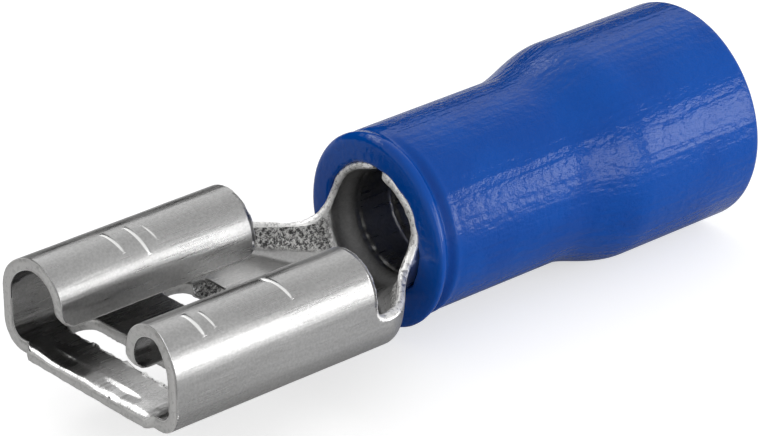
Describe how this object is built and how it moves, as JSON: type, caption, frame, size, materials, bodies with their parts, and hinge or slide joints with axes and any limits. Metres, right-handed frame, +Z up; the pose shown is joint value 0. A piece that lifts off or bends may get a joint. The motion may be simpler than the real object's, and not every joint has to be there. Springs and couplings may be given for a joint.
{
  "type": "insulated female spade terminal",
  "caption": "Push-on female spade terminal: a folded sheet-metal receptacle with rolled wings and a crimp barrel, in a flared insulating sleeve.",
  "frame": {"origin": "middle of the tab's thickness and width, at the front of the rolled wings", "axes": "+X into the terminal, from the mouth to the wire end; +Z up, from the flat floor to the rolled wings; +Y completes the right-hand set"},
  "size_m": [0.0215, 0.0074, 0.0064],
  "materials": {
    "tinned_metal": "satin",
    "blue_sleeve": "gloss"
  },
  "bodies": {
    "root": {"terminal_body": "tinned_metal", "insulating_sleeve": "blue_sleeve"}
  },
  "joints": []
}
